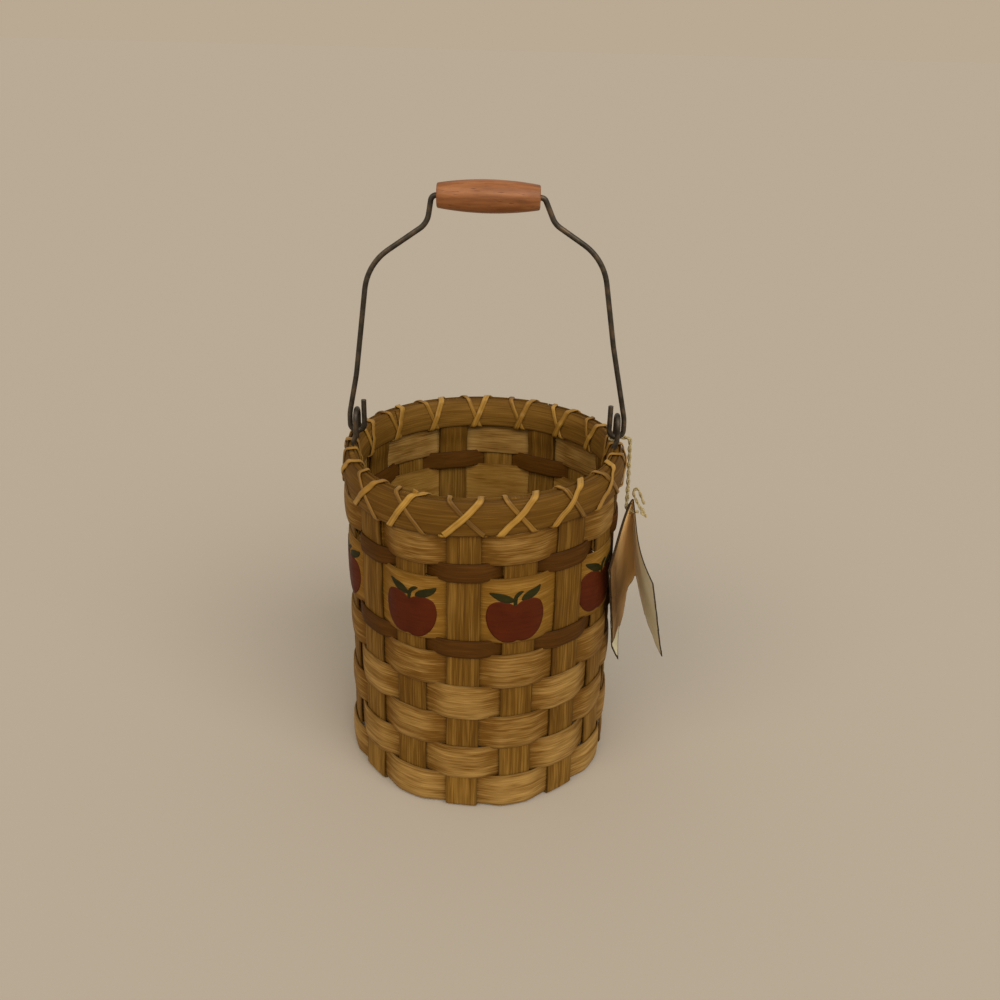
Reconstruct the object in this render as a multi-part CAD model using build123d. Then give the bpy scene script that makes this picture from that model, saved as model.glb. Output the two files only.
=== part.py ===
from build123d import *
import os
from math import atan2, cos, degrees, pi, radians, sin, sqrt, tan

# Woven apple basket. The origin is the middle of its underside, +Z is up, the front
# looks along -Y and the bail swings about X. All sizes are in millimetres.

# Reed
stake_count = 16
stake_width = 13.2
stake_thickness = 1.2
weaver_thickness = 1.2
reed_gap = 0.1  # air between reeds that cross or lie on each other
row_gap = 0.3  # air between stacked rows
bend_radius = 0.8  # inside of the bend from the bottom to the wall
gap_hold = 0.4  # how far a weaver runs past a stake's edge before it crosses over
mat_ramp = 4.0  # run in which a strip of the bottom comes down to the level of the wall

# Wall
wall_radius = 55.1  # middle of the upright stakes
front_stake_angle = -96.0  # the front stake, in degrees from +X
natural_row_count = 5
natural_row_height = 14.0
dyed_row_height = 6.2
apple_row_height = 26.2
upper_row_height = 11.2
rim_row_height = 14.8
rim_row_thickness = 0.8
first_lap_stake = 5  # the stake where the lowest weaver starts; each row starts one stake on
butt_gap = 0.6  # between the two ends of the rim row

# Stake ends that are folded over the rim row
tuck_shift_top = 1.6  # below the upper row's top edge
tuck_shift_length = 7.0
tuck_end_cover = 0.8  # how far above the dyed row's lower edge the end stops

# Rim
lashing_slot = 1.4  # open slit under the rim that the lashing goes through
band_overhang = 0.2  # the bands stand past the rim row and the folded stakes
band_thickness = 1.0
band_gap = 0.15
scarf_length = 6.0
scarf_slit = 0.6
outer_scarf_angle = 60.0
inner_scarf_angle = 140.0

# Lashing
strand_width = 2.45
strand_thickness = 0.6
strand_gap = 0.1
cross_bottom = 8.0  # degrees from the stake to a strand's lower end outside
cross_top = 6.6  # degrees from the stake to its upper end outside
inside_top = 8.3
inside_bottom = 13.1
outside_lift_span = (0.33, 0.72)  # where the upper strand stands clear, as shares of its climb
inside_lift_span = (0.33, 0.9)

# Wire ears and bail
wire_diameter = 2.1
ear_width = 8.0  # between the middles of the two legs
ear_rise = 13.2  # top of the loop above the rim
ear_depth = 15.0  # legs below the rim's top edge
ear_lean = 1.0  # both loops are bent this far to the right above the rim
ear_lean_rise = 2.5
ear_bend_radius = 2.5
hook_radius = 2.9
hook_inset = 0.1  # the hook's middle lies this far inside the ear
hook_tip_rise = 13.3
bail_rim_clearance = 1.25
bail_height = 94.2  # from the swing axis to the grip's axis
leg_straight = 7.5
right_knee = (50.4, 38.0)  # from the middle, and above the swing axis
left_knee = (51.7, 24.0)
right_shoulder = (44.5, 22.0)  # from the middle, and below the grip's axis
left_shoulder = (46.0, 26.2)
right_neck = (25.2, 9.5)
left_neck = (22.9, 10.3)
leg_bend_radius = 20.0
knee_bend_radius = 60.0
shoulder_bend_radius = 22.0
neck_bend_radius = 8.0
corner_bend_radius = 2.2

# Grip
grip_length = 38.6
grip_middle_diameter = 12.2
grip_end_diameter = 9.0
grip_bore_clearance = 0.25
grip_end_gap = 0.4
grip_edge_round = 0.7

# Hang tags
string_diameter = 1.4
string_rim_gap = 0.3  # between the twine and the rim it lies on
string_stand_off = 2.9  # from the outer band to the hanging twine's middle
string_hang_gap = 0.9  # between the part tied to the ear and the part that swings
card_length = 50.9
card_width = 46.0
card_thickness = 0.4
inner_leaf_width = 40.0
kraft_width = 37.4
kraft_thickness = 0.4
kraft_inset = 2.2  # from the card's fold to the kraft tag's edge
paper_gap = 0.15
tag_hole_diameter = 2.8
tag_hole_inset = 4.4
tag_hole_drop = 3.4
tag_corner_out = 5.55  # the fold's upper end, from the outer band
tag_corner_side = -1.0
tag_corner_drop = 7.3  # below the rim's lower edge
fold_lean_out = 8.5  # degrees
fold_lean_back = 24.1
inner_leaf_angle = -18.2
outer_leaf_angle = 8.0
knot_diameter = 3.4
knot_stand_off = 1.2

# Sizes worked out from the ones above
stake_step = 360 / stake_count
lane = stake_thickness / 2 + reed_gap + weaver_thickness / 2
rim_lane = stake_thickness / 2 + reed_gap + rim_row_thickness / 2
lap_shift = weaver_thickness + reed_gap
hold_angle = degrees((stake_width / 2 + gap_hold) / wall_radius)
stake_half_angle = degrees(stake_width / 2 / wall_radius)
tuck_depth = stake_thickness + rim_row_thickness + 2 * reed_gap
tuck_near = stake_thickness + reed_gap

first_row_bottom = 2 * (stake_thickness + reed_gap)
dyed_low_bottom = first_row_bottom + natural_row_count * (natural_row_height + row_gap)
apple_bottom = dyed_low_bottom + dyed_row_height + row_gap
dyed_high_bottom = apple_bottom + apple_row_height + row_gap
upper_bottom = dyed_high_bottom + dyed_row_height + row_gap
upper_top = upper_bottom + upper_row_height
rim_row_bottom = upper_top + lashing_slot
rim_row_top = rim_row_bottom + rim_row_height
fold_level = rim_row_top + reed_gap
rim_bottom = rim_row_bottom - band_overhang
rim_top = fold_level + (tuck_depth + stake_thickness) / 2 + band_overhang

outer_band_inside = wall_radius + rim_lane + rim_row_thickness / 2 + band_gap
outer_band_outside = outer_band_inside + band_thickness
inner_band_outside = wall_radius - tuck_depth - stake_thickness / 2 - band_gap
inner_band_inside = inner_band_outside - band_thickness

strand_rise = strand_gap + strand_thickness / 2
strand_lift = strand_thickness + 2 * strand_gap
lashing_top = rim_top + strand_gap + strand_thickness
ear_gap_middle = (inner_band_outside + wall_radius - stake_thickness / 2) / 2
ear_x = sqrt(ear_gap_middle ** 2 - (ear_width / 2) ** 2)
pivot_height = lashing_top + bail_rim_clearance + wire_diameter / 2
grip_axis_height = pivot_height + bail_height


def polar(radius, angle, height=0.0):
    return Vector(radius * cos(radians(angle)), radius * sin(radians(angle)), height)


def along(angle):
    return Vector(-sin(radians(angle)), cos(radians(angle)), 0)


def stake_angle(index):
    return front_stake_angle + index * stake_step


def mix(low, high, share):
    return low + (high - low) * share


# Stakes: flat strips that weave the bottom and bend up into the wall
def upright_section(tucked):
    """The stake's outline beside the axis, from the bottom's edge up to its end."""
    outside = wall_radius + stake_thickness / 2
    inside = wall_radius - stake_thickness / 2
    bend_r = inside - bend_radius
    bend_z = stake_thickness + bend_radius
    lip = bend_r - 2 * stake_thickness
    bend_turn = sin(radians(45))
    big = bend_radius + stake_thickness

    def at(radius, height):
        return Vector(radius, 0, height)

    bottom = Polyline(at(inside - bend_radius, stake_thickness), at(lip, stake_thickness),
                      at(lip, 0), at(bend_r, 0))
    outer_bend = ThreePointArc(at(bend_r, 0), at(bend_r + big * bend_turn, bend_z - big * bend_turn),
                               at(outside, bend_z))
    inner_bend = ThreePointArc(
        at(bend_r, stake_thickness),
        at(bend_r + bend_radius * bend_turn, bend_z - bend_radius * bend_turn),
        at(inside, bend_z))
    if not tucked:
        top = Polyline(at(outside, bend_z), at(outside, rim_row_top), at(inside, rim_row_top),
                       at(inside, bend_z))
        return make_face([*bottom.edges(), outer_bend, *top.edges(), inner_bend])

    # A tucked end folds over the rim row, runs down inside and slips behind the dyed row
    fold_r = wall_radius - tuck_depth / 2
    shift_high = upper_top - tuck_shift_top
    shift_low = shift_high - tuck_shift_length
    tip = dyed_high_bottom + tuck_end_cover
    half = stake_thickness / 2
    far = wall_radius - tuck_depth
    near = wall_radius - tuck_near
    rise = Line(at(outside, bend_z), at(outside, fold_level))
    over = ThreePointArc(at(outside, fold_level),
                         at(fold_r, fold_level + (tuck_depth + stake_thickness) / 2),
                         at(far - half, fold_level))
    down = Polyline(at(far - half, fold_level), at(far - half, shift_high), at(near - half, shift_low),
                    at(near - half, tip), at(near + half, tip), at(near + half, shift_low),
                    at(far + half, shift_high), at(far + half, fold_level))
    under = ThreePointArc(at(far + half, fold_level),
                          at(fold_r, fold_level + (tuck_depth - stake_thickness) / 2),
                          at(inside, fold_level))
    fall = Line(at(inside, fold_level), at(inside, bend_z))
    return make_face([*bottom.edges(), outer_bend, rise, over, *down.edges(), under, fall, inner_bend])


def upright(index):
    """One stake from the bottom's edge up; every second one is folded over the rim row."""
    swept = revolve(upright_section(index % 2 == 1), Axis.Z, 2 * stake_half_angle)
    return Rot(0, 0, stake_angle(index) - stake_half_angle) * swept


mat_count = stake_count // 4
mat_angles = [(place - (mat_count - 1) / 2) * stake_step for place in range(mat_count)]
mat_offsets = [wall_radius * sin(radians(angle)) for angle in mat_angles]
mat_turn = front_stake_angle + stake_step * (mat_count + (mat_count + 1) % 2 / 2)


def mat_strip(place, across):
    """One strip's run under the basket, over and under the strips that cross it."""
    length = wall_radius - stake_thickness / 2 - bend_radius
    reach = stake_width / 2 + gap_hold
    step = stake_thickness + reed_gap
    line = [(-length, 0.0), (mat_offsets[0] - reach - mat_ramp, 0.0)]
    for crossing, offset in enumerate(mat_offsets):
        over = (place + crossing + across * mat_count) % 2 == 0
        level = step if over else 0.0
        line += [(offset - reach, level), (offset + reach, level)]
    line += [(mat_offsets[-1] + reach + mat_ramp, 0.0), (length, 0.0)]
    lower = [Vector(s, 0, z) for s, z in line]
    upper = [Vector(s, 0, z + stake_thickness) for s, z in reversed(line)]
    outline = make_face(Polyline(*lower, *upper, close=True).edges())
    strip = Pos(0, mat_offsets[place], 0) * extrude(outline, stake_width / 2, dir=(0, 1, 0), both=True)
    inside_wall = extrude(Circle(length), 4 * stake_thickness)
    return Rot(0, 0, mat_turn + 90 * across) * (strip & inside_wall)


def stake_strip(place, across):
    """A whole strip: its run under the basket and the two stakes at its ends."""
    turn = mat_turn + 90 * across
    near_end = turn + mat_angles[place]
    far_end = turn + 180 - mat_angles[place]
    body = mat_strip(place, across)
    for end in (near_end, far_end):
        index = round((end - front_stake_angle) / stake_step)
        body = body + upright(index)
    return body


# Weavers: one strip a row, in front of every second stake, its end lapped over its start
def weaver_side(lanes, shift):
    edges = []
    for place, (start, end, radius) in enumerate(lanes):
        side = radius + shift
        leave = polar(side, end)
        edges.append(ThreePointArc(polar(side, start), polar(side, (start + end) / 2), leave))
        if place + 1 < len(lanes):
            next_start, _, next_radius = lanes[place + 1]
            land = polar(next_radius + shift, next_start)
            edges.append(Spline(leave, land, tangents=(along(end), along(next_start))))
    return edges


def weaver(lanes, bottom, height, thickness):
    outer = weaver_side(lanes, thickness / 2)
    inner = weaver_side(lanes, -thickness / 2)
    start_edge = Line(outer[0] @ 0, inner[0] @ 0)
    end_edge = Line(outer[-1] @ 1, inner[-1] @ 1)
    outline = make_face([*outer, *inner, start_edge, end_edge])
    return Pos(0, 0, bottom) * extrude(outline, height, dir=(0, 0, 1))


def crossing(row, index, behind_tuck):
    """A weaver's middle radius at a stake, outside or inside it."""
    if (index + row) % 2 == 1:
        return wall_radius + lane
    if behind_tuck and index % 2 == 1:
        return wall_radius - lane - tuck_near
    return wall_radius - lane


def lapped_row(row, bottom, height, behind_tuck=False):
    first = first_lap_stake + row
    lanes = []
    for place in range(stake_count + 2):
        index = first + place
        radius = crossing(row, index, behind_tuck)
        if place == 1:
            radius = radius - lap_shift
        if place == stake_count:
            radius = radius + lap_shift
        middle = stake_angle(index)
        lanes.append((middle - hold_angle, middle + hold_angle, radius))
    return weaver(lanes, bottom, height, weaver_thickness)


def butted_row(row, bottom, height):
    first = first_lap_stake + row + 1
    half_gap = degrees(butt_gap / 2 / wall_radius)
    lanes = []
    for place in range(stake_count + 1):
        middle = stake_angle(first + place)
        start = middle - hold_angle
        end = middle + hold_angle
        if place == 0:
            start = middle + half_gap
        if place == stake_count:
            end = middle - half_gap
        side = 1 if (first + place + row) % 2 == 1 else -1
        lanes.append((start, end, wall_radius + side * rim_lane))
    return weaver(lanes, bottom, height, rim_row_thickness)


# Rim: a hoop outside and one inside, each with a scarf joint
def hoop(inside, outside, scarf_angle):
    height = rim_top - rim_bottom
    ring = extrude(Circle(outside) - Circle(inside), height)
    slit = degrees(scarf_slit / outside)
    turn = degrees(scarf_length / outside)
    past = band_thickness / 3
    cut = make_face(Polyline(
        polar(outside + past, scarf_angle), polar(outside + past, scarf_angle + slit),
        polar(inside - past, scarf_angle + slit + turn), polar(inside - past, scarf_angle + turn),
        close=True).edges())
    return Pos(0, 0, rim_bottom) * (ring - extrude(cut, height, dir=(0, 0, 1)))


# Lashing: a flat strand that climbs outside, goes over the rim, down inside and out again
def strand_stations(over):
    """One turn as (degrees from the stake, radius, height, direction of its outer face)."""
    out_r = outer_band_outside + strand_rise
    in_r = inner_band_inside - strand_rise
    top = rim_top + strand_rise
    bottom = rim_bottom - strand_rise
    lift = strand_lift if over else 0.0
    corner = strand_rise * (1 - sin(radians(45)))
    stations = [(-cross_bottom, out_r - corner, bottom + corner, -45.0)]
    for share in outside_lift_span:
        stations.append((mix(-cross_bottom, cross_top, share), out_r + lift, mix(bottom, top, share), 0.0))
    stations.append((cross_top, out_r - corner, top - corner, 45.0))
    stations.append((mix(cross_top, inside_top, 0.5), (out_r + in_r) / 2, top, 90.0))
    stations.append((inside_top, in_r + corner, top - corner, 135.0))
    for share in inside_lift_span:
        stations.append((mix(inside_top, inside_bottom, share), in_r - lift, mix(top, bottom, share), 180.0))
    stations.append((inside_bottom, in_r + corner, bottom + corner, 225.0))
    through = mix(inside_bottom, stake_step - cross_bottom, 0.5)
    stations.append((through, (out_r + in_r) / 2, bottom, 270.0))
    return stations


def lashing(direction, over):
    """The whole strand: one turn for each stake, rising to the right or to the left."""
    climb = radians(cross_bottom + cross_top) * outer_band_outside
    slope = atan2(rim_top - rim_bottom, climb)
    stations = []
    for turn in range(stake_count):
        stake = stake_angle(0) + direction * turn * stake_step
        for swing, radius, height, facing in strand_stations(over):
            angle = stake + direction * swing
            stations.append((angle, polar(radius, angle, height), facing))
    sections = []
    for place, (angle, middle, facing) in enumerate(stations):
        face = polar(cos(radians(facing)), angle, sin(radians(facing)))
        if facing == 0.0:
            way = stations[place + 1][1] - stations[place - 1][1]
            side = way.cross(face).normalized() * (strand_width / 2)
        elif abs(facing) == 45.0:
            side = along(angle) * (strand_width / 2 / sin(slope))
        else:
            side = along(angle) * (strand_width / 2)
        depth = face * (strand_thickness / 2)
        corners = [middle + side + depth, middle - side + depth, middle - side - depth,
                   middle + side - depth]
        sections.append(Wire.make_polygon(corners, close=True))
    return Solid.make_loft(sections, ruled=True)


# Wire ears
def ear(side):
    reach = ear_width / 2
    foot = rim_top - ear_depth
    crown = rim_top + ear_rise - wire_diameter / 2
    low = side * ear_x
    high = low + ear_lean
    front = [Vector(low, -reach, foot), Vector(low, -reach, rim_top),
             Vector(high, -reach, rim_top + ear_lean_rise), Vector(high, -reach, crown)]
    back = [Vector(point.X, reach, point.Z) for point in reversed(front)]
    loop_radius = 0.98 * reach
    bends = [ear_bend_radius, ear_bend_radius, loop_radius]
    path = FilletPolyline(*front, *back, radius=[*bends, *reversed(bends)])
    return sweep(Plane.XY.offset(foot) * Pos(low, -reach) * Circle(wire_diameter / 2), path=path)


# Bail: a hook, a leg, a shoulder and a neck on each side of the grip
hook_level = pivot_height + hook_radius


def hook_middle(side):
    return side * (ear_x - hook_inset) + ear_lean


def bail_hook(side):
    """The hook at one end, as (tip line, hook arc)."""
    middle = hook_middle(side)
    tip = Vector(middle - side * hook_radius, 0, pivot_height + hook_tip_rise)
    rise = Vector(middle - side * hook_radius, 0, hook_level)
    dip = Vector(middle, 0, pivot_height)
    leg = Vector(middle + side * hook_radius, 0, hook_level)
    return Line(tip, rise), ThreePointArc(rise, dip, leg)


def bail_corners(side, knee, shoulder, neck):
    """One side's corners, from the hook up to the grip."""
    leg = hook_middle(side) + side * hook_radius
    neck_turn = atan2(neck[1], neck[0] - grip_length / 2)
    corner = grip_length / 2 + grip_end_gap + corner_bend_radius * tan(neck_turn / 2)
    return [
        Vector(leg, 0, hook_level),
        Vector(leg, 0, pivot_height + leg_straight),
        Vector(side * knee[0], 0, pivot_height + knee[1]),
        Vector(side * shoulder[0], 0, grip_axis_height - shoulder[1]),
        Vector(side * neck[0], 0, grip_axis_height - neck[1]),
        Vector(side * corner, 0, grip_axis_height),
    ]


def bail():
    right = bail_corners(1, right_knee, right_shoulder, right_neck)
    left = bail_corners(-1, left_knee, left_shoulder, left_neck)
    bends = [leg_bend_radius, knee_bend_radius, shoulder_bend_radius, neck_bend_radius, corner_bend_radius]
    arch = FilletPolyline(*right, *reversed(left), radius=[*bends, *reversed(bends)])
    right_tip, right_hook = bail_hook(1)
    left_tip, left_hook = bail_hook(-1)
    path = Wire([right_tip, right_hook, *arch.edges(), left_hook, left_tip])
    tip_plane = Plane(origin=right_tip @ 0, z_dir=(0, 0, -1))
    return sweep(tip_plane * Circle(wire_diameter / 2), path=path)


# Grip: a turned barrel with a bore for the wire
def grip():
    half = grip_length / 2
    bore = wire_diameter / 2 + grip_bore_clearance
    end = grip_end_diameter / 2
    belly = ThreePointArc((-half, 0, end), (0, 0, grip_middle_diameter / 2), (half, 0, end))
    ends = Polyline((half, 0, end), (half, 0, bore), (-half, 0, bore), (-half, 0, end))
    barrel = revolve(make_face([belly, *ends.edges()]), Axis.X, 360)
    rims = [edge for edge in barrel.edges().filter_by(GeomType.CIRCLE) if abs(edge.radius - end) < reed_gap]
    return Pos(0, 0, grip_axis_height) * fillet(rims, grip_edge_round)


# Hang tags: a folded card with a kraft tag inside it, on a doubled twine
tag_corner = Vector(outer_band_outside + tag_corner_out, tag_corner_side, rim_bottom - tag_corner_drop)
fold_way = Vector(sin(radians(fold_lean_out)), sin(radians(fold_lean_back)), -1).normalized()
leaf_front = fold_way.cross(Vector(1, 0, 0)).normalized()
leaf_out = leaf_front.cross(fold_way)


def leaf_plane(angle):
    """A leaf's plane: x runs from the fold to the leaf's free edge, y down the fold."""
    way = leaf_front * cos(radians(angle)) + leaf_out * sin(radians(angle))
    return Plane(origin=tag_corner, x_dir=way, z_dir=way.cross(fold_way))


inner_leaf = leaf_plane(inner_leaf_angle)
outer_leaf = leaf_plane(outer_leaf_angle)
hole_place = (tag_hole_inset, tag_hole_drop, 0)
inner_hole = inner_leaf.from_local_coords(Vector(*hole_place))
outer_hole = outer_leaf.from_local_coords(Vector(*hole_place))


def paper(plane, start, width, thickness, level):
    sheet = Pos(start + width / 2, card_length / 2, level) * Box(width, card_length, thickness)
    hole = Pos(tag_hole_inset, tag_hole_drop, level) * Cylinder(tag_hole_diameter / 2, 3 * thickness)
    return plane * (sheet - hole)


def white_card():
    fold_plane = Plane(origin=tag_corner, z_dir=fold_way)
    fold = fold_plane * extrude(Circle(card_thickness / 2), card_length)
    return (fold + paper(inner_leaf, 0, inner_leaf_width, card_thickness, 0)
            + paper(outer_leaf, 0, card_width, card_thickness, 0))


def kraft_tag():
    level = card_thickness / 2 + paper_gap + kraft_thickness / 2
    return paper(inner_leaf, kraft_inset, kraft_width, kraft_thickness, level)


# The twine is tied round the ear's rear leg, lies over the rim and hangs outside it
leg_y = ear_width / 2
twine_level = rim_top + string_diameter / 2 + string_rim_gap
hang_x = outer_band_outside + string_stand_off
hitch_route = [
    Vector(ear_x - 0.1, leg_y + 1.95, twine_level),
    Vector(ear_x + 1.7, leg_y + 2.1, twine_level),
    Vector(ear_x + 4.2, leg_y + 1.2, twine_level),
    Vector(hang_x, leg_y + 0.4, twine_level),
    Vector(hang_x + 0.1, leg_y + 0.3, twine_level - 3.0),
]
swing_point = hitch_route[-1]
through_hole = (outer_hole - inner_hole).normalized()
hang_route = [
    swing_point + Vector(0, 0, -string_hang_gap),
    swing_point + Vector(0.2, -0.2, -6.0),
    swing_point + Vector(0.3, -1.3, -13.0),
    swing_point + Vector(0.2, -3.4, -19.5),
    swing_point + Vector(-0.1, -5.8, -23.9),
    inner_hole - through_hole * 1.9 + Vector(0, 0, 0.6),
    outer_hole + through_hole * knot_stand_off,
]


def bend_radii(route, share=0.45):
    """Each corner's radius, as large as its shorter run allows."""
    radii = []
    for before, here, after in zip(route, route[1:], route[2:]):
        turn = radians((here - before).get_angle(after - here))
        shorter = min((here - before).length, (after - here).length)
        radii.append(share * shorter / tan(turn / 2))
    return radii


def twine(name, route):
    radii = bend_radii(route)
    path = FilletPolyline(*route, radius=radii)
    tube = sweep(Plane(origin=route[0], z_dir=path % 0) * Circle(string_diameter / 2), path=path)
    expected = pi * string_diameter ** 2 / 4 * path.length
    print(name, "bend radii", [round(radius, 1) for radius in radii])
    print(name, "length", round(path.length, 1), "volume ratio", round(tube.volume / expected, 3))
    return tube


def string_knot():
    start = outer_hole + through_hole * knot_stand_off
    ball = Pos(start + through_hole * (knot_diameter / 2)) * Sphere(knot_diameter / 2)
    flat_side = Plane(origin=start, z_dir=through_hole) * extrude(Circle(knot_diameter), -knot_diameter)
    return ball - flat_side


# Every node, by name
nodes = {}
for across in (0, 1):
    for place in range(mat_count):
        nodes[f"stake_strip_{across * mat_count + place + 1}"] = stake_strip(place, across)

row_sizes = [("natural", natural_row_height)] * natural_row_count
row_sizes += [("dyed", dyed_row_height), ("apple_band", apple_row_height)]
row_sizes += [("dyed", dyed_row_height), ("natural", upper_row_height)]
high_dyed_row = natural_row_count + 2
row_bottom = first_row_bottom
for row, (kind, height) in enumerate(row_sizes):
    behind_tuck = row == high_dyed_row
    nodes[f"row_{row + 1:02d}_{kind}"] = lapped_row(row, row_bottom, height, behind_tuck)
    row_bottom = row_bottom + height + row_gap
rim_row = len(row_sizes)
nodes[f"row_{rim_row + 1:02d}_rim"] = butted_row(rim_row, rim_row_bottom, rim_row_height)

nodes["rim_outer_band"] = hoop(outer_band_inside, outer_band_outside, outer_scarf_angle)
nodes["rim_inner_band"] = hoop(inner_band_inside, inner_band_outside, inner_scarf_angle)
nodes["lashing_rising"] = lashing(1, True)
nodes["lashing_falling"] = lashing(-1, False)
nodes["ear_left"] = ear(-1)
nodes["ear_right"] = ear(1)
nodes["bail"] = bail()
nodes["grip"] = grip()
nodes["string_hitch"] = twine("string_hitch", hitch_route)
nodes["tag_string"] = twine("tag_string", hang_route)
nodes["string_knot"] = string_knot()
nodes["kraft_tag"] = kraft_tag()
nodes["white_card"] = white_card()

os.makedirs("parts", exist_ok=True)
for name, shape in nodes.items():
    export_step(shape, f"parts/{name}.step")
print("pivot", round(ear_x, 3), round(pivot_height, 3), "grip axis", round(grip_axis_height, 3))
print("tag swing point", [round(value, 3) for value in swing_point])
print("rim height", round(rim_bottom, 3), round(rim_top, 3))
print("rim radius", round(inner_band_inside, 3), round(outer_band_outside, 3))
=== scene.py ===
from math import cos, degrees, pi, radians, sin

import bpy
import numpy as np
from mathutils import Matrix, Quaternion, Vector
from mathutils.bvhtree import BVHTree


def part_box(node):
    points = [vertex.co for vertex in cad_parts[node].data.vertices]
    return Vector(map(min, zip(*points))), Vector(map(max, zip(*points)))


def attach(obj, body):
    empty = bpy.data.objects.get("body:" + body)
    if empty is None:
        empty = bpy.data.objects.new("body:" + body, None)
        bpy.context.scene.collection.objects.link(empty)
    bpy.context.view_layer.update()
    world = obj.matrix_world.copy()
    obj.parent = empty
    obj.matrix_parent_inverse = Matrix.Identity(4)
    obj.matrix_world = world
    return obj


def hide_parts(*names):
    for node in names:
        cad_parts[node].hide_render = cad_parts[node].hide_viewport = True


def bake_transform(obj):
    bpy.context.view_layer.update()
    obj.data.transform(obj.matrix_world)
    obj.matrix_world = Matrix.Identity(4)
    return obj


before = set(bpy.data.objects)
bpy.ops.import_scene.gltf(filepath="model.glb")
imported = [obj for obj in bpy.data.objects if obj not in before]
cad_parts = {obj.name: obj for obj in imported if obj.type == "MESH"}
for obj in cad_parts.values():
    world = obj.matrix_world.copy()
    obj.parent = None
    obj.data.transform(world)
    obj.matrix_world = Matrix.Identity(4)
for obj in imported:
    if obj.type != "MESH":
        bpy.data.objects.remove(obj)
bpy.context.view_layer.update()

# Metres and degrees. Heights and radii are read from the frame.
mm = 0.001
seeded = np.random.default_rng

# Reed
stake_count = 2 * sum(name.startswith("stake_strip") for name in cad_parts)
stake_step = 360 / stake_count
front_stake = -96  # degrees from +X
stake_width = 13.2 * mm
reed_thickness = 1.2 * mm
rim_thickness = 0.8 * mm
reed_gap = 0.1 * mm
lane = reed_thickness + reed_gap  # from a stake's middle to a weaver's
rim_lane = (reed_thickness + rim_thickness) / 2 + reed_gap
hold_extra = 0.4 * mm
first_lap = 5
drawn_thickness = 0.85 * mm  # a weaver is shaved thinner
drawn_lane = 1 * mm
float_bow = 0.25 * mm  # a float's middle stands out
stake_sway = 0.25 * mm  # a stake gives way to the weavers
row_names = sorted(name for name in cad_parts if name.startswith("row_"))
row_spans = [(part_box(name)[0].z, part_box(name)[1].z) for name in row_names]
rim_row = len(row_names) - 1
dyed_rows = [row for row, name in enumerate(row_names) if "dyed" in name]
apple_row = next(row for row, name in enumerate(row_names) if "apple" in name)

# Wall and rim
wall_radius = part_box(row_names[rim_row])[1].x - rim_lane - rim_thickness / 2
hold_angle = degrees((stake_width / 2 + hold_extra) / wall_radius)
band_low, band_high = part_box("rim_outer_band")
rim_low, rim_top = band_low.z, band_high.z
low_side = -125  # where the weave and the rim are lowest
low_spread = 55
weave_climb = 4.4 * mm  # of the upper rows, on the other sides
rim_dip = 3 * mm  # from the rim's highest top to its lowest
rim_row_depth = 1.6 * mm  # from the bands' tops to the rim row's
foot_flare = 1.4 * mm  # the wall widens towards the floor
flare_height = 0.45 * rim_low
foot_drop = 1 * mm  # the lowest rows are pressed down
drop_height = 0.3 * rim_low
band_thickness = 1 * mm
band_lean = 1.3 * mm  # the bands' upper edges draw together
lean_power = 1.6
outer_radius = band_high.x
inner_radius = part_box("rim_inner_band")[1].x - band_thickness
bend_radius = 0.8 * mm + reed_thickness / 2
tuck_depth = reed_thickness + rim_thickness + 2 * reed_gap
tuck_start = 1.6 * mm
tuck_run = 7 * mm
tuck_end_cover = 0.8 * mm

# Lashing
rising_width = 2.6 * mm
falling_width = 1.95 * mm
strand_thickness = 0.6 * mm
strand_rise = 0.1 * mm + strand_thickness / 2
edge_lift = 0.45 * mm  # off the rim's upper edges
cross_bottom = 8
cross_top = 5.9
inside_top = 6.6
inside_bottom = 13.1
hand_drifts = {  # degrees at the rim's bottom and top, by strand and turn
    1: {15: (0, -4), 1: (-1.5, -1.5), 2: (-3, -4.5), 3: (-3, -3)},
    -1: {15: (-4, -1), 14: (-4, 0)},
}

# Hang tags
card_length = 50.9 * mm
card_width = 46 * mm
inner_width = 40 * mm
kraft_width = 37.4 * mm
kraft_inset = 2.2 * mm
paper_thickness = 0.4 * mm
paper_gap = 0.15 * mm
tag_hole = Vector((4.4 * mm, 3.4 * mm))
hole_radius = 1.4 * mm
fold_lean_out = 8.5
fold_lean_back = 24.1
inner_angle = -18.2
outer_angle = 8
tag_corner = np.array([outer_radius + 5.55 * mm, -1 * mm, rim_low - 7.3 * mm])


def polar(radius, angle, height=0):
    turn = np.radians(angle)
    return np.stack(np.broadcast_arrays(radius * np.cos(turn), radius * np.sin(turn), height), axis=-1)


def stake_angle(index):
    return front_stake + index * stake_step


def ease(share):
    share = np.clip(share, 0, 1)
    return share * share * (3 - 2 * share)


def mix(low, high, share):
    return low + (high - low) * share


def climb_share(angle):
    """0 at the front left, where the weave is lowest, and 1 elsewhere."""
    turn = (np.asarray(angle, float) - low_side + 180) % 360 - 180
    return 1 - np.exp(-(turn / low_spread) ** 2)


def laid(angle, height):
    """Where a level line runs: the upper rows climb, the lowest are pressed down."""
    upper = np.clip((height - flare_height) / (rim_low - flare_height), 0, 1) ** 1.5
    lower = np.clip((flare_height - height) / drop_height, 0, 1)
    return height + weave_climb * climb_share(angle) * upper - foot_drop * lower


def rim_edges(angle):
    share = climb_share(angle)
    return rim_low + weave_climb * share, rim_top - rim_dip * (1 - share)


def flare(height):
    return foot_flare * np.clip(1 - height / flare_height, 0, 1) ** 2


def waver(angles, rng, size):
    total = np.zeros_like(angles)
    for cycles in (2, 3, 5, 8):
        total += np.sin(np.radians(angles) * cycles + rng.uniform(0, 2 * pi)) / cycles
    return total * size


def run_length(points):
    steps = np.linalg.norm(np.diff(points, axis=0), axis=1)
    return np.hstack([0, np.cumsum(steps)])


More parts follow.
